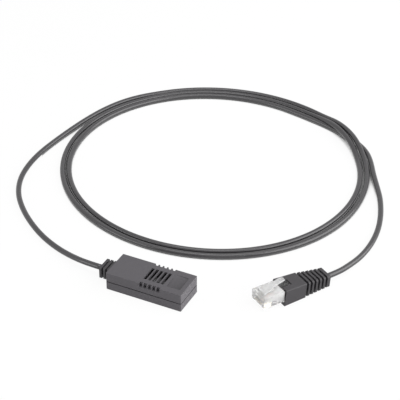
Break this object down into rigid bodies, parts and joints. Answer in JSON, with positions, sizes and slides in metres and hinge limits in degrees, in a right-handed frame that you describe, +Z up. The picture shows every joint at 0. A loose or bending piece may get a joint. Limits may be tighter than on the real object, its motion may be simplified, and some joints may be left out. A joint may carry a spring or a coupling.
{
  "type": "rack temperature sensor",
  "caption": "Small vented sensor case on a thin coiled cable with a clear modular plug and ribbed boot, for measuring air temperature in an equipment rack.",
  "frame": {"origin": "centre of the case's base", "axes": "+X along the case from its cable end to its free end, +Z up out of the vented roof"},
  "size_m": [0.2255, 0.2335, 0.0145],
  "materials": {
    "case_plastic": "satin, lightly grained",
    "board_laminate": "satin",
    "chip_epoxy": "matte",
    "capacitor_body": "satin",
    "black_rubber": "satin",
    "cable_jacket": "satin",
    "clear_plastic": "clear, polished",
    "contact_metal": "plated",
    "wire_red": "satin",
    "wire_black": "satin",
    "wire_white": "satin",
    "wire_green": "satin",
    "wire_blue": "satin",
    "wire_orange": "satin",
    "wire_brown": "satin",
    "wire_yellow": "satin"
  },
  "bodies": {
    "sensor": {"top_cover": "case_plastic", "bottom_cover": "case_plastic", "circuit_board": "board_laminate", "temperature_chip": "chip_epoxy", "bypass_capacitor": "capacitor_body", "pull_up_resistor": "chip_epoxy", "strain_relief": "black_rubber", "cable_sensor_lead": "cable_jacket", "cable_coil": "cable_jacket", "cable_plug_lead": "cable_jacket", "cable_jacket_end": "cable_jacket", "plug_boot": "black_rubber", "plug_body": "clear_plastic", "plug_contact_1": "contact_metal", "plug_contact_2": "contact_metal", "plug_contact_3": "contact_metal", "plug_contact_4": "contact_metal", "plug_contact_5": "contact_metal", "plug_contact_6": "contact_metal", "plug_contact_7": "contact_metal", "plug_contact_8": "contact_metal", "board_wire_red": "wire_red", "board_wire_black": "wire_black", "board_wire_white": "wire_white", "board_wire_green": "wire_green", "plug_wire_blue": "wire_blue", "plug_wire_orange": "wire_orange", "plug_wire_brown": "wire_brown", "plug_wire_yellow": "wire_yellow"},
    "latch": {"plug_latch": "clear_plastic"}
  },
  "joints": [
    {"name": "latch_press", "type": "hinge", "parent": "sensor", "child": "latch", "pos_m": [0.06023, 0.01396, 0.00965], "axis": [-0.8443, 0.5358, 0], "range_deg": [0, 12.5], "stiffness_Nm_per_rad": 0.2}
  ]
}
